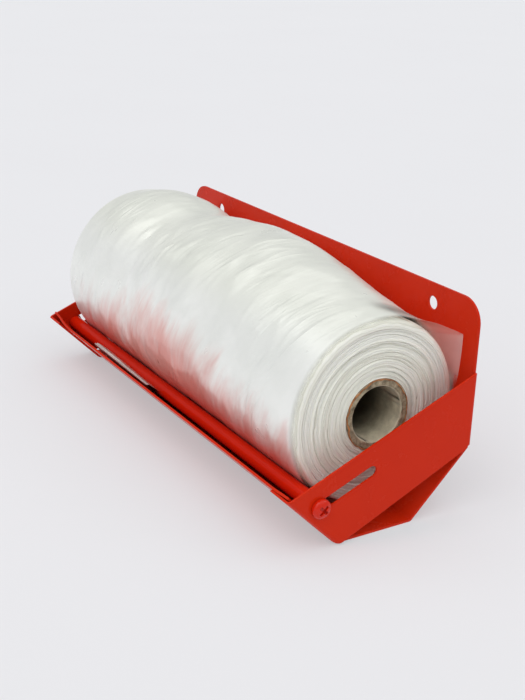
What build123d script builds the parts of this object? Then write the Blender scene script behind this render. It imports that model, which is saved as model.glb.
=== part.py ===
from build123d import *
from math import cos, hypot, radians, sin
import os

# Wall dispenser for a roll of thin plastic film, in millimetres.
# X runs along the roll (+X is the right-hand end seen from the front), Y runs
# from the front lip (-Y) to the wall (+Y), Z is up.  The origin is under the
# middle of the dispenser, on the plane of its flat base.

# ---- folded sheet body ----
sheet_t = 1.5
body_width = 350.0          # over the outside of the two arms
plate_width = 344.0         # back plate and tray
body_height = 131.6
wall_y = 65.1               # outside face of the back plate
bend_r = 3.0                # outside radius of every fold
rear_rise = 40.0            # height of the slanted rear panel
rear_run = 40.0
plate_corner_r = 15.0
hole_pitch = 260.0
hole_d = 8.5
hole_drop = 12.4            # from the top edge of the plate

# ---- arms; the front edge of each arm carries the flange ----
lip_y = -65.1               # outside top corner of the flange
lip_z = 35.1
front_foot_y = -30.0        # where the flange plane meets the table
arm_back_top = 88.3
arm_back_bottom = 42.9
arm_corner_r = 6.0
flange_len = 19.0           # along X, from the outside face of the arm

# ---- front panel ends, eased inward where the arms are welded on ----
ease_left_len = 32.0        # along the lip
ease_left = 3.6             # inward shift of the lip at the arm
ease_right_len = 16.0
ease_right = 0.6
ease_steps = 5
ease_apex = 18.0            # up the panel's end, where it starts to lean in

# ---- rod, slots and screws ----
rod_y = -43.7
rod_z = 28.1
rod_d = 10.0
rod_chamfer = 0.4
slot_w = 7.0
slot_travel = 37.5
slot_deg = 22.3
end_gap = 0.15              # between rod or screw head and the arm
screw_d = 6.0
screw_shank = 16.0
head_d = 12.0
head_h = 4.6
head_rim = 1.4              # straight side of the pan head
crown_shoulder_h = 4.0      # the crown's curve passes through this point
crown_shoulder_r = 3.5
recess_span = 6.4
recess_w = 1.7
recess_depth = 2.6

# ---- film roll ----
roll_y = 5.3
roll_z = 68.2
roll_left = -156.5
roll_right = 158.5
core_d = 44.0
core_bore = 34.0
core_clear = 0.05
roll_r = 56.9
roll_edge_r = 1.5
wrap_r = 58.0               # outside of the slack turn where it is tight
wrap_t = 0.8
clear = 0.3

# how far the slack turn stands off the roll, along its length
wrap_stations = (
    (roll_left, 9.0),
    (-110.0, 14.0),
    (-50.0, 15.5),
    (20.0, 18.0),
    (80.0, 14.5),
    (130.0, 8.0),
    (roll_right, 5.0),
)

# ---- free end of the film ----
tail_left = -98.0
tail_right = -14.0
tail_t = 0.5
tail_low = 14.0             # up the front panel, from its foot
tail_high = 46.5

half_body = body_width / 2
half_plate = plate_width / 2
roll_len = roll_right - roll_left

# unit vector up the front panel, and the one pointing into the tray
front_run = front_foot_y - lip_y
front_len = hypot(front_run, lip_z)
up_y = -front_run / front_len
up_z = lip_z / front_len
in_y = up_z
in_z = -up_y


def front_point(up, depth):
    """Point in the YZ section, measured up and in from the flange's foot."""
    y = front_foot_y + up * up_y + depth * in_y
    z = up * up_z + depth * in_z
    return (y, z)


# ---------------------------------------------------------------- tray sheet
panel_foot_y = front_foot_y + sheet_t / in_y
panel_inner = 2 * sheet_t   # the flange and the panel's own thickness
inward = Vector(0, in_y, in_z)
rear_corner_y = wall_y - rear_run
sheet_line = [
    (wall_y, body_height),
    (wall_y, rear_rise),
    (rear_corner_y, 0),
    (panel_foot_y, 0),
    front_point(front_len, sheet_t),
]


# side, length along the lip and inward shift of each eased corner
eased_corners = (
    (-1, ease_left_len, ease_left),
    (1, ease_right_len, ease_right),
)


def corner_fan(side, length, top_shift):
    """Outside of an eased corner: its apex by the arm, then its lip points."""
    points = []
    for step in range(ease_steps + 1):
        share = step / ease_steps
        shift = top_shift * share * share * (3 - 2 * share)
        x = side * (half_plate - length * (1 - share))
        points.append(Vector(x, *front_point(front_len, sheet_t + shift)))
    apex = Vector(side * half_plate, *front_point(ease_apex, sheet_t))
    return apex, points


def facet_plane(apex, first, second):
    """Plane through three points of a corner."""
    return Plane(apex, x_dir=first - apex, z_dir=(first - apex).cross(second - apex))


def in_plane(plane, *points):
    """The same points in the plane's own coordinates."""
    local = [plane.to_local_coords(point) for point in points]
    return [(point.X, point.Y) for point in local]


with BuildPart() as tray_sheet:
    with BuildSketch(Plane.YZ.offset(-half_plate)):
        with BuildLine():
            FilletPolyline(sheet_line, radius=bend_r)
            offset(amount=sheet_t, side=Side.RIGHT)
        make_face()
    extrude(amount=plate_width)
    # wall holes
    with Locations(Plane.XZ.offset(-wall_y)):
        with Locations((0, body_height - hole_drop)):
            with GridLocations(hole_pitch, 0, 2, 1):
                Cylinder(hole_d / 2, 4 * sheet_t, mode=Mode.SUBTRACT)
    rear_edges = tray_sheet.edges().filter_by(Axis.Y)
    fillet(rear_edges.group_by(Axis.Z)[-1], plate_corner_r)
    # each top corner of the front panel is cut off and put back as a fan of
    # narrow facets that ease inward
    for side, length, top_shift in eased_corners:
        apex, flat_lip = corner_fan(side, length, 0)
        plane = facet_plane(apex, flat_lip[0], flat_lip[-1])
        with BuildSketch(plane):
            with BuildLine():
                Polyline(*in_plane(plane, apex, flat_lip[0], flat_lip[-1]), close=True)
            make_face()
        extrude(amount=sheet_t, dir=inward, mode=Mode.SUBTRACT)
    for side, length, top_shift in eased_corners:
        apex, lip = corner_fan(side, length, top_shift)
        for first, second in zip(lip, lip[1:]):
            plane = facet_plane(apex, first, second)
            with BuildSketch(plane):
                with BuildLine():
                    Polyline(*in_plane(plane, apex, first, second), close=True)
                make_face()
            extrude(amount=sheet_t, dir=inward)


# ---------------------------------------------------------------------- arms
bend_y = wall_y - bend_r
arm_low_slope = arm_back_bottom / (wall_y - front_foot_y)
flange_plane = Plane(
    origin=(0, front_foot_y, 0),
    x_dir=(1, 0, 0),
    z_dir=(0, up_y, up_z),
)
slot_centre_y = rod_y + slot_travel / 2 * cos(radians(slot_deg))
slot_centre_z = rod_z + slot_travel / 2 * sin(radians(slot_deg))
arm_low_at_bend = arm_low_slope * (bend_y - front_foot_y)

with BuildPart() as side_arm_right:
    # the band and its front flange, seen along the front fold
    with BuildSketch(flange_plane):
        with BuildLine():
            FilletPolyline(
                (half_body - flange_len, 0),
                (half_body, 0),
                (half_body, 4 * bend_r + body_height),
                radius=bend_r,
            )
            offset(amount=sheet_t, side=Side.LEFT)
        make_face()
    extrude(amount=body_height, both=True)
    # outline of the band
    with BuildSketch(Plane.YZ) as outline:
        with BuildLine():
            Polyline(
                (lip_y, lip_z),
                (front_foot_y, 0),
                (bend_y, arm_low_at_bend),
                (bend_y, arm_back_top),
                close=True,
            )
        make_face()
        foot_corner = outline.vertices().sort_by(Axis.Y)[0]
        fillet(foot_corner, arm_corner_r)
    extrude(amount=body_width, mode=Mode.INTERSECT)
    # fold that joins the band to the edge of the back plate
    with BuildSketch(Plane.XY.offset(arm_back_bottom)):
        with BuildLine():
            outer = Line((half_plate, wall_y), (half_plate, wall_y - sheet_t))
            RadiusArc(outer @ 1, (half_body - sheet_t, bend_y), bend_r - sheet_t)
            inner = Line((half_body - sheet_t, bend_y), (half_body, bend_y))
            RadiusArc(inner @ 1, (half_plate, wall_y), -bend_r)
        make_face()
    extrude(amount=arm_back_top - arm_back_bottom)
    # slot for the rod's screw
    with BuildSketch(Plane.YZ.offset(half_body + sheet_t)):
        with Locations((slot_centre_y, slot_centre_z)):
            SlotCenterToCenter(slot_travel, slot_w, rotation=slot_deg)
    extrude(amount=-3 * sheet_t, mode=Mode.SUBTRACT)

with BuildPart() as side_arm_left:
    mirror(side_arm_right.part, about=Plane.YZ)

# ------------------------------------------------------------ rod and screws
rod_half = half_body - sheet_t - end_gap

with BuildPart() as retaining_rod:
    with BuildSketch(Plane.YZ.offset(-rod_half)):
        with Locations((rod_y, rod_z)):
            Circle(rod_d / 2)
    extrude(amount=2 * rod_half)
    chamfer(retaining_rod.edges().filter_by(GeomType.CIRCLE), rod_chamfer)
    # tapped hole in each end
    for side in (-1, 1):
        with BuildSketch(Plane.YZ.offset(side * rod_half)):
            with Locations((rod_y, rod_z)):
                Circle(screw_d / 2)
        extrude(amount=-side * screw_shank, mode=Mode.SUBTRACT)

head_x = half_body + end_gap
screw_tip_x = head_x - screw_shank
screw_axis = Axis((0, rod_y, rod_z), (1, 0, 0))
crown = ThreePointArc(
    (head_x + head_rim, rod_y + head_d / 2),
    (head_x + crown_shoulder_h, rod_y + crown_shoulder_r),
    (head_x + head_h, rod_y),
)

with BuildPart() as screw:
    with BuildSketch(Plane.XY.offset(rod_z)):
        with BuildLine():
            Polyline(
                (head_x + head_h, rod_y),
                (screw_tip_x, rod_y),
                (screw_tip_x, rod_y + screw_d / 2),
                (head_x, rod_y + screw_d / 2),
                (head_x, rod_y + head_d / 2),
                (head_x + head_rim, rod_y + head_d / 2),
            )
            add(crown)
        make_face()
    revolve(axis=screw_axis)
    # cross recess
    with BuildSketch(Plane.YZ.offset(head_x + head_h)):
        with Locations((rod_y, rod_z)):
            Rectangle(recess_span, recess_w, rotation=45)
            Rectangle(recess_span, recess_w, rotation=-45)
    extrude(amount=-recess_depth, mode=Mode.SUBTRACT)

with BuildPart() as rod_screws:
    add(screw.part)
    mirror(screw.part, about=Plane.YZ)

# ----------------------------------------------------------------- film roll
roll_plane = Plane.YZ.offset(roll_left)
roll_centre = (roll_y, roll_z)

with BuildPart() as cardboard_core:
    with BuildSketch(roll_plane):
        with Locations(roll_centre):
            Circle(core_d / 2)
            Circle(core_bore / 2, mode=Mode.SUBTRACT)
    extrude(amount=roll_len)

with BuildPart() as film_roll:
    with BuildSketch(roll_plane):
        with Locations(roll_centre):
            Circle(roll_r)
            Circle(core_d / 2 + core_clear, mode=Mode.SUBTRACT)
    extrude(amount=roll_len)
    rims = film_roll.edges().filter_by(GeomType.CIRCLE).sort_by(SortBy.RADIUS)[-2:]
    fillet(rims, roll_edge_r)

# The slack turn touches the tight roll on the rod's side and stands off it on
# the opposite side, so each of its sections is a larger circle whose centre
# has moved away from the rod.
away = Vector(roll_y - rod_y, roll_z - rod_z).normalized()


def slack_circle(stand_off, inset):
    """Centre and radius of the slack turn's section."""
    shift = stand_off / 2
    centre = (roll_y + away.X * shift, roll_z + away.Y * shift)
    return centre, wrap_r + shift - inset


def trough_line(gap):
    """Inside of the back plate and the rear panel, moved inward by gap."""
    inner = sheet_t + gap
    corner = inner * (hypot(1, 1) - 1)
    return [
        (wall_y - inner, 2 * body_height),
        (wall_y - inner, rear_rise + corner),
        (rear_corner_y - corner, inner),
        (rear_corner_y - body_height, inner),
        (rear_corner_y - body_height, 2 * body_height),
    ]


def slack_body(inset):
    """Solid of the slack turn, pressed flat where it meets the sheet body."""
    with BuildPart() as body:
        for x, stand_off in wrap_stations:
            centre, radius = slack_circle(stand_off, inset)
            with BuildSketch(Plane.YZ.offset(x)):
                with Locations(centre):
                    Circle(radius)
        loft()
        with BuildSketch(roll_plane.offset(-clear)):
            with BuildLine():
                Polyline(*trough_line(clear + inset), close=True)
            make_face()
        extrude(amount=roll_len + 2 * clear, mode=Mode.INTERSECT)
    return body.part


slack_outside = slack_body(0)
slack_inside = slack_body(wrap_t)

with BuildPart() as film_wrap:
    add(slack_outside)
    add(slack_inside, mode=Mode.SUBTRACT)

# Free end of the film, folded flat against the inside of the front panel.
with BuildPart() as film_tail:
    with BuildSketch(Plane.YZ.offset(tail_left)):
        with BuildLine():
            Polyline(
                front_point(tail_low, panel_inner),
                front_point(tail_low, panel_inner + tail_t),
                front_point(tail_high, panel_inner + tail_t),
                front_point(tail_high, panel_inner),
                close=True,
            )
        make_face()
    extrude(amount=tail_right - tail_left)

# -------------------------------------------------------------------- export
pieces = {
    "tray_sheet": tray_sheet,
    "side_arm_right": side_arm_right,
    "side_arm_left": side_arm_left,
    "retaining_rod": retaining_rod,
    "rod_screws": rod_screws,
    "cardboard_core": cardboard_core,
    "film_roll": film_roll,
    "film_wrap": film_wrap,
    "film_tail": film_tail,
}
os.makedirs("parts", exist_ok=True)
for name, piece in pieces.items():
    piece.part.label = name
    export_step(piece.part, f"parts/{name}.step")
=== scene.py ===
import math

import bpy
import numpy as np
from mathutils import Matrix, Vector


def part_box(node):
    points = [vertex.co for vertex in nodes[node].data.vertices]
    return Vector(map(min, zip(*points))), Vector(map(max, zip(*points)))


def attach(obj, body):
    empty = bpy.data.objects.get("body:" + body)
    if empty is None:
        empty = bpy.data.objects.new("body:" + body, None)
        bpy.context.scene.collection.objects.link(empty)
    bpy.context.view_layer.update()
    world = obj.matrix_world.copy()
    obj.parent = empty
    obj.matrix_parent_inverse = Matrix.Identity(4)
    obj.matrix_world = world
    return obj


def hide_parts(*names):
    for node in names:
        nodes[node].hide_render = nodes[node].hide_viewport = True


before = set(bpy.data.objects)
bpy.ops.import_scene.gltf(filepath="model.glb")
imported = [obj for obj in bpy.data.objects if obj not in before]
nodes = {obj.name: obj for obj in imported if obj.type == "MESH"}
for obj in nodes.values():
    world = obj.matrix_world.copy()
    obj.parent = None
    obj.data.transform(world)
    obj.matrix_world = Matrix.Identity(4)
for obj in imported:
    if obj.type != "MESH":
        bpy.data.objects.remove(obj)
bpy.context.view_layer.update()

MM = 0.001
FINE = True

# ------------------------------------------------------------ sizes from the CAD
roll_low, roll_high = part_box("film_roll")
_, tray_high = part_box("tray_sheet")
core_low, core_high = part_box("cardboard_core")
rod_low, rod_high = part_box("retaining_rod")
screw_low, screw_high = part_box("rod_screws")
tail_low, tail_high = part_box("film_tail")

AXIS_Y = (roll_low.y + roll_high.y) / 2
AXIS_Z = (roll_low.z + roll_high.z) / 2
ROLL_R = (roll_high.z - roll_low.z) / 2
ROLL_LEFT, ROLL_RIGHT = roll_low.x, roll_high.x
CORE_R = (core_high.z - core_low.z) / 2
ROD_Y = (rod_low.y + rod_high.y) / 2
ROD_Z = (rod_low.z + rod_high.z) / 2
ROD_R = (rod_high.z - rod_low.z) / 2
SHEET_T = 1.5 * MM           # thickness of the tray's sheet metal
WALL_INSIDE = tray_high.y - SHEET_T
REAR_RUN = 40 * MM           # the slanted rear panel rises as far as it runs


# ------------------------------------------------------------------- node helpers
def new_material(name):
    material = bpy.data.materials.new(name)
    material.use_nodes = True
    tree = material.node_tree
    shader = tree.nodes["Principled BSDF"]
    return material, tree, shader


def add_node(tree, kind, **settings):
    node = tree.nodes.new(kind)
    for key, value in settings.items():
        if key in node.inputs:
            node.inputs[key].default_value = value
        else:
            setattr(node, key, value)
    return node


def object_coords(tree, stretch=(1, 1, 1), turn=(0, 0, 0)):
    """Object coordinates in metres, turned and then stretched."""
    coords = tree.nodes.new("ShaderNodeTexCoord")
    turned = tree.nodes.new("ShaderNodeMapping")
    turned.inputs["Rotation"].default_value = turn
    tree.links.new(coords.outputs["Object"], turned.inputs["Vector"])
    stretched = tree.nodes.new("ShaderNodeMapping")
    stretched.inputs["Scale"].default_value = stretch
    tree.links.new(turned.outputs["Vector"], stretched.inputs["Vector"])
    return stretched.outputs["Vector"]


def noise(tree, vector, scale, detail=3.0, roughness=0.5, distortion=0.0):
    node = tree.nodes.new("ShaderNodeTexNoise")
    node.inputs["Scale"].default_value = scale
    node.inputs["Detail"].default_value = detail
    node.inputs["Roughness"].default_value = roughness
    node.inputs["Distortion"].default_value = distortion
    tree.links.new(vector, node.inputs["Vector"])
    return node.outputs["Fac"]


def remap(tree, value, low, high, to_low, to_high, smooth=False):
    node = tree.nodes.new("ShaderNodeMapRange")
    node.interpolation_type = "SMOOTHSTEP" if smooth else "LINEAR"
    node.inputs["From Min"].default_value = low
    node.inputs["From Max"].default_value = high
    node.inputs["To Min"].default_value = to_low
    node.inputs["To Max"].default_value = to_high
    tree.links.new(value, node.inputs["Value"])
    return node.outputs["Result"]


def ramp(tree, value, stops):
    node = tree.nodes.new("ShaderNodeValToRGB")
    elements = node.color_ramp.elements
    while len(elements) < len(stops):
        elements.new(0.5)
    for element, (place, colour) in zip(elements, stops):
        element.position = place
        element.color = (*colour, 1)
    tree.links.new(value, node.inputs["Fac"])
    return node.outputs["Color"]


def bump(tree, height, distance, strength=1.0, normal=None):
    node = tree.nodes.new("ShaderNodeBump")
    node.inputs["Distance"].default_value = distance
    node.inputs["Strength"].default_value = strength
    tree.links.new(height, node.inputs["Height"])
    if normal is not None:
        tree.links.new(normal, node.inputs["Normal"])
    return node.outputs["Normal"]


def maths(tree, operation, first, second=None, third=None):
    node = tree.nodes.new("ShaderNodeMath")
    node.operation = operation
    for socket, value in zip(node.inputs, (first, second, third)):
        if value is None:
            continue
        if isinstance(value, (int, float)):
            socket.default_value = value
        else:
            tree.links.new(value, socket)
    return node.outputs[0]


def total(tree, first, *more):
    for value in more:
        first = maths(tree, "ADD", first, value)
    return first


def product(tree, first, *more):
    for value in more:
        first = maths(tree, "MULTIPLY", first, value)
    return first


def fade(tree, value, low, high):
    """0 below low, 1 above high and smooth between."""
    return remap(tree, value, low, high, 0.0, 1.0, True)


NOISE_LOW, NOISE_HIGH = 0.3, 0.7     # most of a noise's values lie between these


def sway(tree, field, low, high):
    """A noise stretched over a range of values."""
    return remap(tree, field, NOISE_LOW, NOISE_HIGH, low, high)


def line_noise(tree, position, scale, detail, roughness=0.5):
    """Noise that changes along one line only."""
    node = add_node(
        tree, "ShaderNodeTexNoise",
        noise_dimensions="1D", Scale=scale, Detail=detail, Roughness=roughness,
    )
    tree.links.new(position, node.inputs["W"])
    return node.outputs["Fac"]


def axes(tree, vector):
    """X, Y and Z of a vector."""
    split = tree.nodes.new("ShaderNodeSeparateXYZ")
    tree.links.new(vector, split.inputs["Vector"])
    return split.outputs["X"], split.outputs["Y"], split.outputs["Z"]


# a Mix node's sockets for colours
MIX_AMOUNT, MIX_FIRST, MIX_SECOND, MIX_RESULT = 0, 6, 7, 2


def stain(tree, amount, colour, stained):
    """A colour multiplied by a second one, as far as the amount goes."""
    node = add_node(tree, "ShaderNodeMix", data_type="RGBA", blend_type="MULTIPLY")
    tree.links.new(amount, node.inputs[MIX_AMOUNT])
    tree.links.new(colour, node.inputs[MIX_FIRST])
    node.inputs[MIX_SECOND].default_value = (*stained, 1)
    return node.outputs[MIX_RESULT]


def roll_radius(tree, place):
    """Distance of a point from the roll's own axis."""
    _, y, z = axes(tree, place)
    y = maths(tree, "SUBTRACT", y, AXIS_Y)
    z = maths(tree, "SUBTRACT", z, AXIS_Z)
    squared = total(tree, product(tree, y, y), product(tree, z, z))
    return maths(tree, "SQRT", squared)


# ---------------------------------------------------------------------- materials
def powder_coat(name, colour, deep, roughness, edge=0.5 * MM, gloss=0.1):
    """Glossy powder coat: faint orange peel, slow colour drift, soft edges."""
    material, tree, shader = new_material(name)
    place = object_coords(tree)
    drift = noise(tree, place, 16, 3)
    tint = ramp(tree, drift, [(NOISE_LOW, deep), (NOISE_HIGH, colour)])
    tree.links.new(tint, shader.inputs["Base Color"])
    smears = noise(tree, place, 70, 4, 0.6)
    uneven = sway(tree, smears, roughness - 0.04, roughness + 0.06)
    tree.links.new(uneven, shader.inputs["Roughness"])
    soft_edge = add_node(tree, "ShaderNodeBevel", samples=4, Radius=edge)
    peel = noise(tree, place, 620, 2, 0.4)
    specks = noise(tree, place, 2600, 2, 0.5)
    fine = bump(tree, specks, 0.01 * MM, 0.5, soft_edge.outputs["Normal"])
    tree.links.new(bump(tree, peel, 0.05 * MM, 0.55, fine), shader.inputs["Normal"])
    shader.inputs["Specular IOR Level"].default_value = gloss
    return material


STREAK_LEAN = math.radians(-27)      # streaks on the front run towards the near end as they rise
# painted red reflection of the trough on the film: full below GLOW_LOW, none above GLOW_HIGH
GLOW_LOW, GLOW_HIGH = 22 * MM, 70 * MM
GLOW_BACK = 0.55             # a point 1 further back counts as this much higher
GLOW_MIDDLE = 20 * MM        # where along the roll the painted red reflection reaches highest
GLOW_FALL = 1.4              # how it sinks towards the ends, 1/m
GLOW_RAGGED = 13 * MM        # how far streaks push its border up and down
GLOW_PATCHY = 12 * MM
# painted shade: the film is drawn darker and warmer over the top of the roll
TOP_SHADE_LOW, TOP_SHADE_HIGH = 102 * MM, 128 * MM
TOP_SHADE_TINT = (0.92, 0.925, 0.875)
# fine ridges in the film's bump: scale of the noise, how thin, how tall
RIDGES = ((48, 0.035, 0.55), (95, 0.05, 0.40))
LAYER_GLOW = (0.95, 0.62, 0.56)      # painted glow, drawn as emission: daylight through one layer, warmed by the plate behind


def painted_tray_glow(tree, place, along):
    """How much painted red reflection of the trough the low front of the film gets."""
    x, y, z = axes(tree, place)
    streaks = noise(tree, along, 55, 4, 0.6, 0.5)
    patches = noise(tree, object_coords(tree, (1.0, 0.5, 0.5)), 14, 3, 0.5, 0.8)
    offset = maths(tree, "SUBTRACT", x, GLOW_MIDDLE)
    height = total(
        tree,
        z,
        product(tree, y, GLOW_BACK),
        sway(tree, streaks, -GLOW_RAGGED, GLOW_RAGGED),
        sway(tree, patches, -GLOW_PATCHY, GLOW_PATCHY),
        product(tree, offset, offset, GLOW_FALL),
    )
    return remap(tree, height, GLOW_LOW, GLOW_HIGH, 1.0, 0.0, True)


def film_creases(tree, place, along):
    """Crinkles and fine ridges, in patches, as a normal."""
    crinkle = noise(tree, along, 150, 2, 0.5, 0.6)
    fine = noise(tree, along, 420, 2, 0.5, 0.3)
    where = remap(tree, noise(tree, place, 16, 2), 0.45, 0.62, 0.15, 1.0, True)
    wave = total(tree, crinkle, product(tree, fine, 0.3))
    for scale, thin, tall in RIDGES:
        off_line = maths(tree, "SUBTRACT", noise(tree, along, scale, 1, 0.4, 0.8), 0.5)
        off_line = maths(tree, "DIVIDE", off_line, thin)
        line = maths(tree, "DIVIDE", tall, maths(tree, "MULTIPLY_ADD", off_line, off_line, 1.0))
        wave = total(tree, wave, line)
    return bump(tree, product(tree, wave, where), 0.75 * MM, 0.9)


def clear_near_end(tree, shader, place, alpha):
    """One layer of film: clear where it stands off near its end, and at its cut edge; there it gets a
    painted glow of the light through it.
    """
    x, y, _ = axes(tree, place)
    loose = fade(tree, x, ROLL_RIGHT - 30 * MM, ROLL_RIGHT - 12 * MM)
    away = fade(tree, roll_radius(tree, place), ROLL_R + 1.2 * MM, ROLL_R + 3 * MM)
    behind = fade(tree, y, AXIS_Y + 2 * MM, AXIS_Y + 12 * MM)
    thin = product(tree, loose, away, behind)
    rim = fade(tree, x, ROLL_RIGHT - 7 * MM, ROLL_RIGHT - 1 * MM)
    rim = product(tree, rim, maths(tree, "SUBTRACT", 1.0, away))
    cover = maths(tree, "SUBTRACT", 1.0, product(tree, thin, 1 - alpha))
    cover = maths(tree, "SUBTRACT", cover, rim)
    tree.links.new(maths(tree, "MAXIMUM", cover, 0.0), shader.inputs["Alpha"])
    # painted glow: emission stands in for light shining through the loose layer
    shader.inputs["Emission Color"].default_value = (*LAYER_GLOW, 1)
    clouds = noise(tree, object_coords(tree, (0.3, 1.0, 1.0)), 60, 3)
    painted_layer_glow = remap(tree, clouds, 0.35, 0.65, 0.0, 0.26)
    tree.links.new(product(tree, thin, painted_layer_glow), shader.inputs["Emission Strength"])


def film_material(name, base, shade, glow, alpha, roughness, pearl):
    """Thin milky film: fine streaks and crease lines round the roll, uneven gloss.

    Low on the front, where the film lies next to the red trough, a painted
    red reflection of the trough is laid over its colour."""
    material, tree, shader = new_material(name)
    along = object_coords(tree, (1.0, 0.2, 0.2), (0, STREAK_LEAN, 0))
    place = object_coords(tree)
    haze = noise(tree, place, 22, 4, 0.6, 0.4)
    tint = ramp(tree, haze, [(0.32, shade), (0.62, base)])
    _, _, z = axes(tree, place)
    # painted shade over the top of the roll
    tint = stain(tree, fade(tree, z, TOP_SHADE_LOW, TOP_SHADE_HIGH), tint, TOP_SHADE_TINT)
    # painted red reflection of the trough, multiplied into the low front
    tint = stain(tree, painted_tray_glow(tree, place, along), tint, glow)
    tree.links.new(tint, shader.inputs["Base Color"])
    uneven = sway(tree, noise(tree, place, 45, 3, 0.6), roughness - 0.07, roughness + 0.1)
    tree.links.new(uneven, shader.inputs["Roughness"])
    tree.links.new(film_creases(tree, place, along), shader.inputs["Normal"])
    if alpha < 1:
        clear_near_end(tree, shader, place, alpha)
    shader.inputs["Metallic"].default_value = pearl
    shader.inputs["Specular IOR Level"].default_value = 0.5
    shader.inputs["Coat Weight"].default_value = 0.35
    shader.inputs["Coat Roughness"].default_value = 0.2
    return material


def wound_film_material(name):
    """Edges of the wound turns: cream rings with thin grey gaps."""
    material, tree, shader = new_material(name)
    place = object_coords(tree)
    wander = sway(tree, noise(tree, place, 24, 3, 0.6), -1.6 * MM, 1.6 * MM)
    ring = total(tree, roll_radius(tree, place), wander)
    bands = line_noise(tree, ring, 780.0, 5.0, 0.65)
    broad = line_noise(tree, ring, 95.0, 2.0)
    mixed = total(tree, product(tree, bands, 0.55), product(tree, broad, 0.45))
    tint = ramp(tree, mixed, [
        (0.34, (0.40, 0.38, 0.30)),
        (0.42, (0.80, 0.80, 0.70)),
        (0.53, (0.92, 0.92, 0.83)),
        (0.66, (1.0, 0.99, 0.93)),
    ])
    tree.links.new(tint, shader.inputs["Base Color"])
    tree.links.new(bump(tree, bands, 0.5 * MM, 0.7), shader.inputs["Normal"])
    shader.inputs["Roughness"].default_value = 0.38
    shader.inputs["Subsurface Weight"].default_value = 0.25
    shader.inputs["Subsurface Radius"].default_value = (4 * MM, 4 * MM, 3.5 * MM)
    shader.inputs["Coat Weight"].default_value = 0.2
    shader.inputs["Coat Roughness"].default_value = 0.3
    return material


BORE_SHADE = (0.10, 0.09, 0.06)
BORE_UNSHADED = 5 * MM          # the bore has no painted shade this far in from its rim
FIBRE_LEAN = 0.5


def board_material(name, light, dark, scale=160, fibre_depth=0.12, deep=0.0):
    """Wound cardboard: mottled fibres; inside the bore, painted shade that darkens with depth."""
    material, tree, shader = new_material(name)
    place = object_coords(tree)
    mottled = noise(tree, place, scale, 6, 0.65)
    tint = ramp(tree, mottled, [(0.32, dark), (0.66, light)])
    if deep:
        x, _, _ = axes(tree, place)
        middle = (ROLL_LEFT + ROLL_RIGHT) / 2
        from_middle = maths(tree, "ABSOLUTE", maths(tree, "SUBTRACT", x, middle))
        from_end = maths(tree, "SUBTRACT", ROLL_RIGHT - middle, from_middle)
        # painted shade: the bore darkens with depth from each end
        tint = stain(tree, fade(tree, from_end, BORE_UNSHADED, deep), tint, BORE_SHADE)
    tree.links.new(tint, shader.inputs["Base Color"])
    fibres = noise(tree, object_coords(tree, (0.35, 1, 1), (0, 0, FIBRE_LEAN)), 900, 4, 0.6)
    tree.links.new(bump(tree, fibres, fibre_depth * MM, 0.8), shader.inputs["Normal"])
    shader.inputs["Roughness"].default_value = 0.82
    shader.inputs["Sheen Weight"].default_value = 0.1
    return material


red_coat = powder_coat("red_coat", (0.66, 0.026, 0.004), (0.60, 0.021, 0.003), 0.24)
red_rod = powder_coat("red_rod", (0.66, 0.018, 0.003), (0.60, 0.014, 0.002), 0.18)
red_screw = powder_coat(
    "red_screw", (0.66, 0.018, 0.003), (0.60, 0.014, 0.002), 0.12, 0.15 * MM, 0.3)
slack_look = film_material(
    "slack_film", (0.925, 0.935, 0.90), (0.85, 0.865, 0.825), (0.80, 0.30, 0.26), 0.34, 0.34, 0.2)
# the film end is a darker, greyer copy of the film's colours: painted shade of the trough between the rod
# and the front panel
shaded_tail_look = film_material(
    "film_end", (0.66, 0.61, 0.58), (0.40, 0.35, 0.33), (1, 1, 1), 1.0, 0.30, 0.1)
turns_look = wound_film_material("wound_turns")
board_look = board_material("core_board", (0.50, 0.42, 0.28), (0.12, 0.09, 0.05), 260, 0.25)
ply_look = board_material("core_ply", (0.58, 0.24, 0.08), (0.16, 0.06, 0.02), 240, 0.25)
# the last argument is the depth at which the bore's painted shade is full
bore_look = board_material("core_bore", (0.72, 0.66, 0.48), (0.42, 0.38, 0.27), 110, 0.12, 34 * MM)

for name in ("tray_sheet", "side_arm_right", "side_arm_left"):
    for slot in nodes[name].material_slots:
        slot.material = red_coat
for slot in nodes["retaining_rod"].material_slots:
    slot.material = red_rod


# ------------------------------------------------------------------ mesh helpers
def ease(value, start, length):
    """0 at the start, 1 a length further on and after."""
    return np.clip((value - start) / length, 0, 1)


def grid_object(name, points, material, close_columns=False):
    """Smooth mesh from rows of points; the columns may close on themselves."""
    rows, columns = points.shape[:2]
    faces = []
    last = columns if close_columns else columns - 1
    for i in range(rows - 1):
        for j in range(last):
            k = (j + 1) % columns
            a, b = i * columns, (i + 1) * columns
            faces.append((a + j, a + k, b + k, b + j))
    mesh = bpy.data.meshes.new(name)
    mesh.from_pydata(points.reshape(-1, 3).tolist(), [], faces)
    mesh.polygons.foreach_set("use_smooth", [True] * len(faces))
    mesh.materials.append(material)
    mesh.update()
    piece = bpy.data.objects.new(name, mesh)
    bpy.context.scene.collection.objects.link(piece)
    return piece


SPLINE_GAIN = 1.8            # makes up for what the spline smooths away


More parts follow.
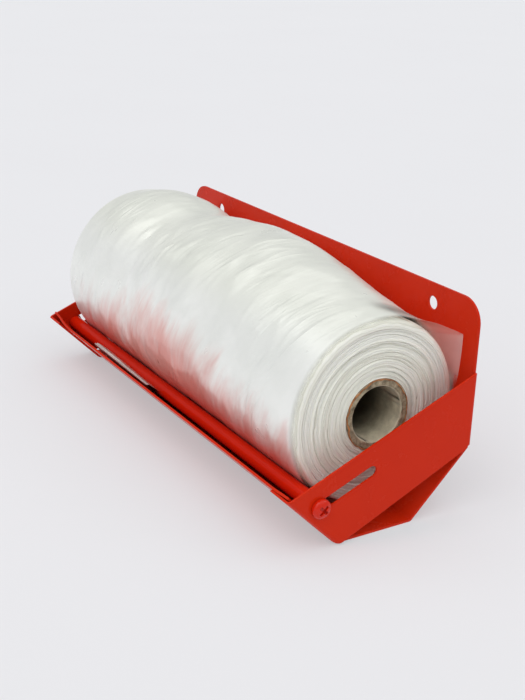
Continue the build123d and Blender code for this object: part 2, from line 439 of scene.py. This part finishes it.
def smooth_noise(rng, size, cells, wrap_columns=False):
    """Smooth random field, about -1 to 1, from a coarse grid of random values."""
    rows, columns = size
    coarse_rows, coarse_columns = cells
    values = rng.uniform(-1, 1, (coarse_rows + 3, coarse_columns + (0 if wrap_columns else 3)))
    u = np.linspace(0, coarse_rows, rows)
    v = np.linspace(0, coarse_columns, columns, endpoint=not wrap_columns)

    def taps(t):
        """Cell and cubic spline weights of each place."""
        base = np.floor(t).astype(int)
        f = t - base
        weights = np.stack([
            (1 - f) ** 3 / 6,
            (3 * f ** 3 - 6 * f ** 2 + 4) / 6,
            (-3 * f ** 3 + 3 * f ** 2 + 3 * f + 1) / 6,
            f ** 3 / 6,
        ])
        return base, weights

    iu, wu = taps(np.minimum(u, coarse_rows - 1e-6))
    iv, wv = taps(v if wrap_columns else np.minimum(v, coarse_columns - 1e-6))
    field = np.zeros((rows, columns))
    for a in range(4):
        for b in range(4):
            row = np.clip(iu + a, 0, values.shape[0] - 1)
            column = iv + b
            if wrap_columns:
                column = column % values.shape[1]
            else:
                column = np.clip(column, 0, values.shape[1] - 1)
            field += wu[a][:, None] * wv[b][None, :] * values[np.ix_(row, column)]
    return field * SPLINE_GAIN


def polar(x, angle, radius):
    """Points at an angle round the roll's axis; 0 is towards the wall, 90 is up."""
    turn = np.radians(angle)
    return np.stack([x + 0 * angle, AXIS_Y + radius * np.cos(turn), AXIS_Z + radius * np.sin(turn)], -1)


# ------------------------------------------------------------------------ screws
HEAD_H, HEAD_RIM = 4.6 * MM, 1.4 * MM
HEAD_ROUND = 2.2             # power of the dome's curve; 2 is an ellipse
RECESS_HALF, RECESS_REACH, RECESS_DEPTH = 0.85 * MM, 3.2 * MM, 2.6 * MM
RECESS_TURN = 45             # the cross stands on its corner, degrees
RECESS_SOFT = 0.16 * MM      # its walls slope over this width
SHANK_R, SHANK_LENGTH = 3.0 * MM, 14.0 * MM
SCREW_AROUND, SCREW_RINGS = 176, 64


def build_screw(name, side):
    """Pan-head screw: domed crown with a cross recess, rounded rim, shank."""
    angle = np.linspace(0, 360, SCREW_AROUND, endpoint=False)
    bend = np.radians(angle)
    turn = np.radians(angle + RECESS_TURN)
    head_r = (screw_high.z - screw_low.z) / 2
    top = screw_high.x
    rows = []

    def ring(x, radius):
        rows.append(np.stack([side * x, ROD_Y + radius * np.cos(bend), ROD_Z + radius * np.sin(bend)], -1))

    def inside(reach, off):
        return np.clip((reach - off) / RECESS_SOFT + 0.5, 0, 1)

    for radius in np.linspace(0.02 * MM, head_r, SCREW_RINGS):
        share = min(radius / head_r, 1)
        dome = top - (HEAD_H - HEAD_RIM) * (1 - math.sqrt(max(1 - share ** HEAD_ROUND, 0)))
        one, two = np.abs(radius * np.cos(turn)), np.abs(radius * np.sin(turn))
        arm_a = inside(RECESS_HALF, one) * inside(RECESS_REACH, two)
        arm_b = inside(RECESS_HALF, two) * inside(RECESS_REACH, one)
        sunk = np.maximum(arm_a, arm_b)
        ring(dome * (1 - sunk) + min(dome, top - RECESS_DEPTH) * sunk, radius)
    seat = top - HEAD_H
    for x, radius in (
        (seat + HEAD_RIM * 0.5, head_r),
        (seat + 0.15 * MM, head_r - 0.02 * MM),
        (seat, head_r - 0.2 * MM),
        (seat, SHANK_R + 0.1 * MM),
        (seat - 0.05 * MM, SHANK_R),
        (seat - SHANK_LENGTH, SHANK_R),
    ):
        ring(np.full(SCREW_AROUND, x), radius)
    return grid_object(name, np.array(rows), red_screw, True)


screws = [build_screw("screw_near", 1), build_screw("screw_far", -1)]
for screw in screws:
    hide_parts("rod_screws")
    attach(screw, "rod")


# ---------------------------------------------------------------- cardboard core
CORE_SKIN = 0.1 * MM         # the drawn tube stays this far inside the roll's bore
CORE_WALL = 4.8 * MM         # from there to the bore, counted from the CAD tube's side
CORE_INSET = 0.6 * MM        # mean place of the plies' ends, in from the tube's own
PLIES = 9
PLY_STEP = 0.45              # each ply ends up to this much further in or out, mm
BORE_PLY = -0.7              # the innermost ply is worn back
CORE_AROUND = 220
TORN_ROWS = 7
TORN_START = 3.0 * MM        # the torn ply is drawn from this far in


def build_core():
    """Wound tube: plies step at each end and the outer ply is torn and curled."""
    rng = np.random.default_rng(11)
    around = CORE_AROUND
    angle = np.linspace(0, 360, around, endpoint=False)
    outer, bore = CORE_R - CORE_SKIN, CORE_R - CORE_WALL
    ragged = smooth_noise(rng, (1, around), (1, 24), True)[0]
    flutter = smooth_noise(rng, (1, around), (1, 70), True)[0]

    def end_rows(x_end, side):
        rows = []
        for ply in range(PLIES):
            share = ply / (PLIES - 1)
            lift = PLY_STEP * rng.uniform(-1, 1)
            if ply == 0:
                lift = BORE_PLY
            chewed = 0.28 * flutter * rng.uniform(0.4, 1) + 0.3 * ragged * share
            radius = bore + share * (outer - bore) + 0.10 * MM * flutter * (ply < PLIES - 1)
            rows.append(polar(x_end + side * (lift + chewed) * MM, angle, radius))
        return rows

    stations = np.linspace(core_low.x + 1.5 * MM, core_high.x - 1.5 * MM, 14)
    outside = [polar(np.full(around, x), angle, np.full(around, outer)) for x in stations[::-1]]
    far_end = end_rows(core_low.x + CORE_INSET, -1)[::-1]
    inside = [polar(np.full(around, x), angle, bore + 0.08 * MM * flutter) for x in stations]
    near_end = end_rows(core_high.x - CORE_INSET, 1)
    tube_rows = np.array(outside + far_end + inside + near_end)
    tube = grid_object("wound_core", tube_rows, board_look, True)
    tube.data.materials.append(bore_look)
    for face in tube.data.polygons:
        r = math.hypot(face.center.y - AXIS_Y, face.center.z - AXIS_Z)
        if r < bore + 0.6 * MM:
            face.material_index = 1
    # torn brown paper ply round each rim
    torn = []
    for side, x_end in ((1, core_high.x), (-1, core_low.x)):
        rows = []
        for step in range(TORN_ROWS):
            share = step / (TORN_ROWS - 1)
            reach = np.maximum(0.1, 0.6 + 1.1 * ragged + 0.9 * flutter) * share
            x = x_end - side * TORN_START * (1 - share) + side * reach * 0.5 * MM
            curl = share ** 2 * (0.7 + 1.0 * ragged + 0.5 * flutter) * 1.1
            rows.append(polar(x, angle, outer + (0.08 - curl + 0.12 * flutter * share) * MM))
        piece = grid_object("torn_ply_" + ("near" if side > 0 else "far"), np.array(rows), ply_look, True)
        thicken = piece.modifiers.new("ply", "SOLIDIFY")
        thicken.thickness = 0.5 * MM
        torn.append(piece)
    return tube, torn


core, torn_plies = build_core()
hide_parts("cardboard_core")
for piece in [core] + torn_plies:
    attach(piece, "roll_core")


# --------------------------------------------------------------------- film roll
SHOULDER = 8.0 * MM          # the roll's rim is rounded off over this length
SHOULDER_DROP = 5.5 * MM
TURN_RINGS = 110             # rings drawn on each end face
TURNS_AROUND = 288
BUNDLE = (3, 11)             # rings that slip together: at least, and fewer than


def shoulder_drop(x):
    """How far the roll's side falls away near each end."""
    near = np.clip((x - (ROLL_RIGHT - SHOULDER)) / SHOULDER, 0, 1)
    far = np.clip((ROLL_LEFT + SHOULDER - x) / SHOULDER, 0, 1)
    t = np.maximum(near, far)
    return SHOULDER_DROP * (1 - np.sqrt(np.clip(1 - t ** 2, 0, 1)))


def shoulder_stations(count):
    """Distances in from a roll's end, closer together towards the end."""
    return SHOULDER * (1 - np.sin(np.linspace(math.pi / 2, 0, count)))


def build_turns():
    """The tight roll: both end faces are hundreds of film edges, none quite level."""
    rng = np.random.default_rng(5)
    around, rings = TURNS_AROUND, TURN_RINGS
    angle = np.linspace(0, 360, around, endpoint=False)
    bore = CORE_R + 0.1 * MM
    face_r = ROLL_R - SHOULDER_DROP

    def end_rows(x_end, side):
        # bundles of turns stand out or sink together, with a thin gap between
        steps = np.zeros(rings)
        place = 0
        while place < rings:
            bundle = int(rng.integers(*BUNDLE))
            level = rng.uniform(-0.75, 0.55)
            for k in range(place, min(place + bundle, rings)):
                steps[k] = level + rng.normal(0, 0.10)
            if place + bundle < rings:
                steps[place + bundle - 1] -= rng.uniform(0.3, 0.9)
            place += bundle
        slow = smooth_noise(rng, (rings, around), (10, 6), True) * 0.55
        ripple = smooth_noise(rng, (rings, around), (55, 22), True) * 0.30
        rows = []
        for i in range(rings):
            share = i / (rings - 1)
            fade = min(1, i / 5)
            lift = fade * (steps[i] + slow[i] + ripple[i]) - 0.7 - 0.5 * share ** 3
            slip = fade * (1 - share) * (0.9 * slow[i] + 0.35 * ripple[i])
            radius = bore + (face_r - bore) * share + slip * MM
            rows.append(polar(x_end + side * np.minimum(lift, 0.5) * MM, angle, radius))
        return rows

    length = ROLL_RIGHT - ROLL_LEFT
    rim = shoulder_stations(12)
    middle = np.linspace(SHOULDER + 6 * MM, length - SHOULDER - 6 * MM, 30)
    offsets = np.concatenate([rim, middle, length - rim[::-1]])
    side_rows = []
    for offset in offsets[::-1]:
        x = ROLL_LEFT + offset
        edge = min(offset, length - offset)
        wobble = rng.normal(0, 0.06 * MM) + smooth_noise(rng, (1, around), (1, 9), True)[0] * 0.1 * MM
        tuck = -1.2 * MM * max(0, 1 - edge / (1.5 * MM)) * np.sign(offset - length / 2)
        radius = ROLL_R - 0.15 * MM - shoulder_drop(x) + wobble
        side_rows.append(polar(np.full(around, x + tuck), angle, radius))
    points = np.array(end_rows(ROLL_RIGHT, 1) + side_rows + end_rows(ROLL_LEFT, -1)[::-1])
    return grid_object("film_turns", points, turns_look, True)


turns = build_turns()
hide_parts("film_roll")
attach(turns, "film")


# -------------------------------------------------------------------- slack turn
# places along the roll, and how far the slack turn stands off there, opposite the rod, mm
STAND_OFF = (
    (-156, 10.0),
    (-130, 14.5),
    (-100, 13.5),
    (-70, 9.5),
    (-38, 15.5),
    (12, 18.0),
    (60, 14.5),
    (100, 8.6),
    (130, 3.4),
    (158, 0.6),
)
TIGHT_R = ROLL_R + 0.9 * MM          # the slack turn's radius where it is tight
AWAY = math.degrees(math.atan2(AXIS_Z - ROD_Z, AXIS_Y - ROD_Y))     # straight away from the rod
FILM_GAP = 0.45 * MM         # clearance to the sheet metal
ROD_GAP = 0.4                # clearance to the rod, mm
FAR = 999                    # nothing in the way, mm
ARC_R = 60                   # radius that turns angles into distances round the film
FLAP_LENGTH = 30             # how far in from the near end the film is loose, mm
CORNER_ANGLE = 35.0          # where the near end's loose corner meets the back plate
CORNER_R = 70.6              # and how far that is from the roll's axis, mm
LIFT_ANGLE = 74.0            # where it leaves the roll
PLATE_END = -2               # and where it comes back to the roll, behind
FLAP_BELLY = 2.0             # how far it bows out on the way, mm
RIM_PULL = (26, 22)          # it is drawn in to the rim from here, and over this length, mm
CREASE_TIP = 0.9             # creases are rounded over about this much, mm
CREASE_GAIN = 2.2            # times the heights in CREASES
FOLD_TAPER = 12              # long folds die out over this length, mm
FOLD_SKEW = 2.6              # and are this much wider on one side
SMOOTHING = 2                # passes over the finished creases
# waves in the slack turn: height in mm, and cells along and round the roll
PUCKERS = ((1.3, (9, 12)), (0.7, (24, 18)))
RIPPLE = (0.14, (120, 40))
FLAP_RIPPLE = (0.35, (30, 60))
EDGE_RIPPLE = (0.8, (1, 34))
FREE_AT = 8                  # standing off this far, the film buckles freely, mm
TIGHT_PUCKER, TIGHT_CREASE = 0.2, 0.45       # share of both that is left where it is tight
CALM_FAR, CALM_NEAR = (12, 0.15), (18, 0.12)     # towards an end: over this length, to this share
SNUG_FROM, SNUG_TO = (76, 22), (212, 12)     # hugs the rim between these angles, eased over
EDGE_DEPTH = 16              # the film moves with its cut edge over this length, mm
EDGE_OUT, EDGE_SPREAD = 2.4, 16      # it stands out this much at the corner, over these degrees
LOOSE_FROM, LOOSE_TO = (-6, 10), (88, 10)    # angles between which the edge is loose, eased over


def smooth_min(a, b, width):
    """Smaller of two fields, rounded where they cross."""
    h = np.clip(0.5 + 0.5 * (b - a) / width, 0, 1)
    return b * (1 - h) + a * h - width * h * (1 - h)


def smooth_curve(stations, x):
    """Smooth curve through a few stations."""
    places = np.array([s[0] for s in stations], float)
    values = np.array([s[1] for s in stations], float)
    slopes = np.gradient(values, places)
    i = np.clip(np.searchsorted(places, x) - 1, 0, len(places) - 2)
    gap = places[i + 1] - places[i]
    t = np.clip((x - places[i]) / gap, 0, 1)
    return ((2 * t ** 3 - 3 * t ** 2 + 1) * values[i] + (t ** 3 - 2 * t ** 2 + t) * gap * slopes[i]
            + (-2 * t ** 3 + 3 * t ** 2) * values[i + 1] + (t ** 3 - t ** 2) * gap * slopes[i + 1])


# clusters of creases: middle along the roll and round it, spread along and
# round, how many, how tall, and how they lean
CREASES = (
    (-118, 150, 12, 16, 12, 0.45, 4),
    (-72, 145, 16, 16, 20, 0.70, 12),
    (-30, 142, 18, 14, 26, 0.80, 20),
    (12, 152, 18, 12, 22, 0.75, 30),
    (48, 160, 20, 10, 12, 0.50, 40),
    (-110, 198, 24, 16, 20, 0.55, -4),
    (-50, 205, 22, 14, 22, 0.65, -6),
    (10, 205, 26, 14, 24, 0.55, -4),
    (70, 195, 24, 20, 26, 0.40, -3),
    (118, 180, 20, 26, 28, 0.25, 0),
    (-60, 100, 50, 16, 10, 0.20, 30),
    (60, 105, 50, 16, 10, 0.18, 35),
    (0, 20, 100, 60, 40, 0.4, 10),
    (0, 290, 100, 50, 40, 0.4, -10),
)
# long folds: where they start and end (along, round), width and height
FOLDS = (
    ((-18, 178), (100, 134), 3.6, 1.3),
    ((-4, 188), (60, 174), 3.0, 0.9),
    ((60, 174), (122, 150), 3.4, 0.8),
    ((-92, 207), (-72, 170), 3.0, 1.5),
    ((-70, 212), (-58, 186), 2.4, 1.1),
    ((-125, 122), (-106, 168), 2.6, 0.5),
    ((-60, 118), (-44, 170), 2.6, 0.7),
    ((-20, 112), (-34, 165), 3.0, 0.8),
    ((10, 110), (-6, 160), 2.6, 0.6),
    ((20, 92), (110, 78), 7.0, 0.9),
    ((-140, 92), (-60, 84), 8.0, 1.1),
)


def blunt(off):
    """Distance from a crease's line, rounded at the line itself."""
    return np.sqrt(off ** 2 + CREASE_TIP ** 2) - CREASE_TIP


def crease_field(rng, x, arc):
    """Ridges and valleys where the slack film has buckled, in millimetres."""
    height = np.zeros_like(x)
    turn_length = 2 * math.pi * ARC_R
    for middle, round_at, spread_x, spread_angle, count, tall, lean_at in CREASES:
        for _ in range(count):
            x0 = rng.normal(middle, spread_x)
            a0 = math.radians(rng.normal(round_at, spread_angle)) * ARC_R
            lean = math.radians(rng.normal(lean_at, 11))
            length = 7 + 30 * rng.random() ** 1.6
            width = 0.9 + 2.4 * rng.random() ** 1.6
            steep = rng.uniform(1.5, 4.0)
            here = CREASE_GAIN * tall * rng.uniform(0.25, 1.1) * rng.choice((1, 1, -0.8))
            bend = rng.normal(0, 0.007)
            dx = x - x0
            da = (arc - a0 + turn_length / 2) % turn_length - turn_length / 2
            near = (np.abs(dx) < 1.5 * length + 8) & (np.abs(da) < 1.5 * length + 8)
            if not near.any():
                continue
            dx, da = dx[near], da[near]
            run = da * math.cos(lean) - dx * math.sin(lean)
            off = dx * math.cos(lean) + da * math.sin(lean) + bend * run ** 2
            skew = np.where(off > 0, width, width * steep)
            height[near] += here * np.exp(-blunt(off) / skew - 1.6 * (run / length) ** 2)
    for (x0, angle0), (x1, angle1), width, tall in FOLDS:
        start = np.array([x0, math.radians(angle0) * ARC_R])
        end = np.array([x1, math.radians(angle1) * ARC_R])
        along = end - start
        length = np.hypot(*along)
        along = along / length
        dx, da = x - start[0], arc - start[1]
        run = dx * along[0] + da * along[1]
        bow = 0.12 * length * np.sin(np.clip(run / length, 0, 1) * math.pi)
        off = -dx * along[1] + da * along[0] - bow
        ends = ease(run, 0, FOLD_TAPER) * ease(length, run, FOLD_TAPER)
        skew = np.where(off > 0, width, width * FOLD_SKEW)
        height += tall * ends * np.exp(-blunt(off) / skew)
    for _ in range(SMOOTHING):
        rows = np.pad(height, ((1, 1), (0, 0)), mode="edge")
        height = (rows[:-2] + 2 * height + rows[2:]) / 4
        height = (np.roll(height, 1, 1) + 2 * height + np.roll(height, -1, 1)) / 4
    return height


def film_limit(angle):
    """Largest radius clear of the sheet body and the rod, in millimetres."""
    turn = np.radians(angle)
    gap = FILM_GAP / MM
    plate = (WALL_INSIDE - AXIS_Y) / MM - gap
    to_plate = np.where(np.cos(turn) > 0.3, plate / np.maximum(np.cos(turn), 0.3), FAR)
    slant_drop = AXIS_Z - (AXIS_Y - tray_high.y + REAR_RUN)      # from the axis straight down to it
    slant = (slant_drop / math.sqrt(2) - SHEET_T) / MM - gap
    lean = np.cos(turn + math.pi / 4)
    to_slant = np.where(lean > 0.3, slant / np.maximum(lean, 0.3), FAR)
    rod_away = math.hypot(ROD_Y - AXIS_Y, ROD_Z - AXIS_Z) / MM
    side = (np.radians(angle - AWAY - 180) + math.pi) % (2 * math.pi) - math.pi
    keep = ROD_R / MM + ROD_GAP
    across = rod_away * np.abs(np.sin(side))
    facing = (across < keep) & (np.abs(side) < math.pi / 2)
    chord = np.sqrt(np.maximum(keep ** 2 - across ** 2, 0))
    to_rod = np.where(facing, rod_away * np.cos(side) - chord, FAR)
    return np.minimum(np.minimum(to_plate, to_slant), to_rod)


def slack_circle(x, angle):
    """Radius of the slack turn before it creases, touching the roll by the rod."""
    tight = TIGHT_R / MM
    half = smooth_curve(STAND_OFF, x) / 2
    delta = np.radians(angle - AWAY)
    return half * np.cos(delta) + np.sqrt((tight + half) ** 2 - (half * np.sin(delta)) ** 2)


def waves(rng, size, kind):
    """Soft random waves round the roll, of one height and fineness."""
    height, cells = kind
    return smooth_noise(rng, size, cells, True) * height


def heading(angle):
    """Unit vector at an angle round the roll."""
    turn = math.radians(angle)
    return np.array([math.cos(turn), math.sin(turn)])


def flap_radius(angle, share, tight):
    """Radius of the loose corner: off the roll to the back plate, then down the plate."""
    turn = np.radians(angle)
    corner = CORNER_R * heading(CORNER_ANGLE)
    leave = tight * heading(LIFT_ANGLE)
    edge = corner - leave
    facing = np.minimum(np.cos(turn) * edge[1] - np.sin(turn) * edge[0], -1e-3)
    line = (leave[0] * edge[1] - leave[1] * edge[0]) / facing
    upper = line + FLAP_BELLY * np.sin(share * math.pi)
    lower = corner[0] / np.maximum(np.cos(turn), 0.2)
    flap = np.where(share >= 1, 0, np.where(angle > CORNER_ANGLE, upper, lower))
    return np.where(angle < PLATE_END, 0, flap)


def build_slack_turn():
    """The roll's last turn: slack at the back, creased, its near end loose in the corner."""
    rng = np.random.default_rng(23)
    rows, columns = (280, 380) if FINE else (150, 190)
    left, right = ROLL_LEFT / MM, ROLL_RIGHT / MM
    rim = shoulder_stations(10) / MM
    x = np.concatenate([left + rim, np.linspace(left + 9, right - 9, rows - 20), right - rim[::-1]])
    angle = np.linspace(-140, 220, columns, endpoint=False)
    grid_x, grid_angle = np.meshgrid(x, angle, indexing="ij")
    roll_r, tight = ROLL_R / MM, TIGHT_R / MM
    radius = slack_circle(grid_x, grid_angle)

    # big soft puckers, then creases, both smaller where the film is tight
    free = ease(radius, tight, FREE_AT)
    arc = np.radians(grid_angle) * ARC_R
    puckers = sum(waves(rng, grid_x.shape, pucker) for pucker in PUCKERS)
    creases = crease_field(rng, grid_x, arc)
    ripple = waves(rng, grid_x.shape, RIPPLE)
    calm_far = np.clip((grid_x - left) / CALM_FAR[0], CALM_FAR[1], 1)
    calm_near = np.clip((right - grid_x) / CALM_NEAR[0], CALM_NEAR[1], 1)
    buckled = (TIGHT_PUCKER + (1 - TIGHT_PUCKER) * free) * puckers
    buckled = buckled + (TIGHT_CREASE + (1 - TIGHT_CREASE) * free) * creases
    radius = radius + calm_far * calm_near * (buckled + ripple)

    # the loose edge at the near end stands in the back corner
    share = ease(grid_angle, CORNER_ANGLE, LIFT_ANGLE - CORNER_ANGLE)
    flap = flap_radius(grid_angle, share, tight)
    reach = ease(grid_x, right - FLAP_LENGTH, FLAP_LENGTH) ** 1.3
    radius += np.maximum(flap - radius, 0) * reach
    loose = reach * np.clip(share * 8, 0, 1) * np.clip((1 - share) * 4, 0, 1)
    radius += (puckers * 0.4 + waves(rng, grid_x.shape, FLAP_RIPPLE)) * loose

    # the film hugs the rounded rim at the near end, in front and underneath
    drop = shoulder_drop(np.clip(grid_x, left, right) * MM) / MM
    snug = roll_r + 0.35 - drop
    pull = ease(grid_x, right - RIM_PULL[0], RIM_PULL[1])
    pull = pull * pull * (3 - 2 * pull)
    front = ease(grid_angle, *SNUG_FROM) * ease(SNUG_TO[0], grid_angle, SNUG_TO[1])
    radius = radius * (1 - pull * front) + (snug + 0.25 * puckers * (1 - pull)) * pull * front
    radius = -smooth_min(-radius, -snug, 0.4)
    radius = np.minimum(radius, film_limit(grid_angle))

    # and its cut edge wanders, furthest out at the corner
    edge_wave = waves(rng, (1, columns), EDGE_RIPPLE)
    out = np.exp(-((grid_angle - CORNER_ANGLE) / EDGE_SPREAD) ** 2) * EDGE_OUT
    near_end = ease(grid_x, right - EDGE_DEPTH, EDGE_DEPTH) ** 2
    loose_edge = ease(LOOSE_TO[0], grid_angle, LOOSE_TO[1]) * ease(grid_angle, *LOOSE_FROM)
    shift = near_end * loose_edge * (edge_wave + out)
    points = polar((grid_x + shift) * MM, grid_angle, radius * MM)
    return grid_object("slack_film", points, slack_look, True)


slack = build_slack_turn()
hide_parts("film_wrap")
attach(slack, "roll_core")


# ---------------------------------------------------------- free end of the film
TAIL_RISE = 1.2              # the fold stands a little above the CAD strip, mm
TAIL_OPEN = 4.6              # its two legs stand this far apart at the far end, mm
TAIL_CLOSE = 1.8             # and this much less at the near one
TAIL_GAP = 0.25              # clearance to the front panel, mm
TAIL_ROWS, TAIL_COLUMNS = 80, 46


def build_tail():
    """Doubled film end that stands between the rod and the front panel."""
    rng = np.random.default_rng(31)
    rows, columns = TAIL_ROWS, TAIL_COLUMNS
    base = Vector((0, tail_high.y, tail_low.z))
    rise = (Vector((0, tail_low.y, tail_high.z)) - base).normalized()
    inward = Vector((0, rise.z, -rise.y))
    length = (tail_high.z - tail_low.z) / rise.z / MM + TAIL_RISE
    # from end to end, and from the foot of one leg over the fold to the other's
    along = np.linspace(0, 1, rows)
    over = np.linspace(-1, 1, columns)
    gu, gv = np.meshgrid(along, over, indexing="ij")
    wave = smooth_noise(rng, gu.shape, (9, 3))
    up = (1 - np.abs(gv) ** 2.6) * (length - 0.8 + 0.5 * np.sin(gu * 7 + 1) - 2.5 * gu ** 2)
    apart = TAIL_OPEN - TAIL_CLOSE * gu
    off = TAIL_GAP + apart * (1 - np.cos((gv + 1) * math.pi / 2)) / 2 + 0.25 * np.abs(wave)
    # a groove runs along the fold, and the inner leg's foot stands further in
    up -= 1.1 * np.exp(-((gv - 0.15) / 0.10) ** 2)
    off += (gv > 0) * 0.8 * np.abs(gv)
    x = tail_low.x / MM + gu * (tail_high.x - tail_low.x) / MM + 1.2 * (gv > 0) * gv * (1 - gu)
    points = np.zeros((rows, columns, 3))
    points[..., 0] = x * MM
    points[..., 1] = base.y + (up * rise.y + off * inward.y) * MM
    points[..., 2] = base.z + (up * rise.z + off * inward.z) * MM
    return grid_object("film_end", points, shaded_tail_look)


tail = build_tail()
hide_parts("film_tail")
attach(tail, "dispenser")


# -------------------------------------------------------- floor, light and camera
FLOOR_SIZE = 60.0            # metres
floor_mesh = bpy.data.meshes.new("floor")
half_floor = FLOOR_SIZE / 2
floor_mesh.from_pydata(
    [(-half_floor, -half_floor, 0), (half_floor, -half_floor, 0),
     (half_floor, half_floor, 0), (-half_floor, half_floor, 0)], [], [(0, 1, 2, 3)])
floor = bpy.data.objects.new("floor", floor_mesh)
bpy.context.scene.collection.objects.link(floor)
floor_look, floor_tree, floor_shader = new_material("studio_floor")
floor_shader.inputs["Roughness"].default_value = 0.9
floor_shader.inputs["Specular IOR Level"].default_value = 0.1
floor_tint = ramp(floor_tree, noise(floor_tree, object_coords(floor_tree), 3, 2),
                  [(0.3, (0.520, 0.420, 0.430)), (0.7, (0.526, 0.426, 0.436))])
floor_tree.links.new(floor_tint, floor_shader.inputs["Base Color"])
# the sweep is lit from below as well, so shadows on it stay pale
floor_shader.inputs["Emission Color"].default_value = (0.79, 1.07, 1.10, 1)
floor_shader.inputs["Emission Strength"].default_value = 0.36
floor_mesh.materials.append(floor_look)

world = bpy.data.worlds.new("studio")
bpy.context.scene.world = world
world.use_nodes = True
background = world.node_tree.nodes["Background"]
background.inputs["Color"].default_value = (0.97, 0.98, 1.0, 1)
background.inputs["Strength"].default_value = 0.49


def soft_sun(name, azimuth, elevation, strength, spread, colour=(1, 1, 1)):
    """A broad distant softbox; azimuth is counted from +X towards +Y."""
    light = bpy.data.lights.new(name, "SUN")
    light.energy = strength
    light.angle = math.radians(spread)
    light.color = colour
    lamp = bpy.data.objects.new(name, light)
    turn, rise = math.radians(azimuth), math.radians(elevation)
    toward = Vector((math.cos(rise) * math.cos(turn), math.cos(rise) * math.sin(turn), math.sin(rise)))
    lamp.rotation_euler = toward.to_track_quat("Z", "Y").to_euler()
    lamp.location = toward * 2
    bpy.context.scene.collection.objects.link(lamp)
    return lamp


soft_sun("overhead", 60, 76, 0.88, 95)
soft_sun("front_fill", -72, 48, 0.85, 60)
soft_sun("side_fill", 10, 40, 0.13, 60)
soft_sun("sparkle_left", -150, 48, 0.12, 22)
soft_sun("sparkle_back", 60, 40, 0.05, 10)

VIEW_PLACE = (0.6312, -0.3706, 0.3317)
VIEW_LENS = 58.44
VIEW_AZIMUTH = math.radians(57.94)
VIEW_ELEVATION = math.radians(20.645)
VIEW_ROLL = math.radians(1.943)

camera_data = bpy.data.cameras.new("camera")
camera_data.lens = VIEW_LENS
camera_data.sensor_width = 36.0
camera_data.clip_start = 0.01
camera_data.clip_end = 200.0
camera = bpy.data.objects.new("camera", camera_data)
bpy.context.scene.collection.objects.link(camera)
bpy.context.scene.camera = camera

back = Vector((
    math.sin(VIEW_AZIMUTH) * math.cos(VIEW_ELEVATION),
    -math.cos(VIEW_AZIMUTH) * math.cos(VIEW_ELEVATION),
    math.sin(VIEW_ELEVATION),
))
level = Vector((math.cos(VIEW_AZIMUTH), math.sin(VIEW_AZIMUTH), 0))
upright = back.cross(level)
right_axis = level * math.cos(VIEW_ROLL) + upright * math.sin(VIEW_ROLL)
up_axis = upright * math.cos(VIEW_ROLL) - level * math.sin(VIEW_ROLL)
turned = Matrix((right_axis, up_axis, back)).transposed()
camera.matrix_world = Matrix.Translation(VIEW_PLACE) @ turned.to_4x4()

view = bpy.context.scene.view_settings
view.view_transform = "Standard"
view.look = "None"
view.exposure = 0.0
view.gamma = 1.0
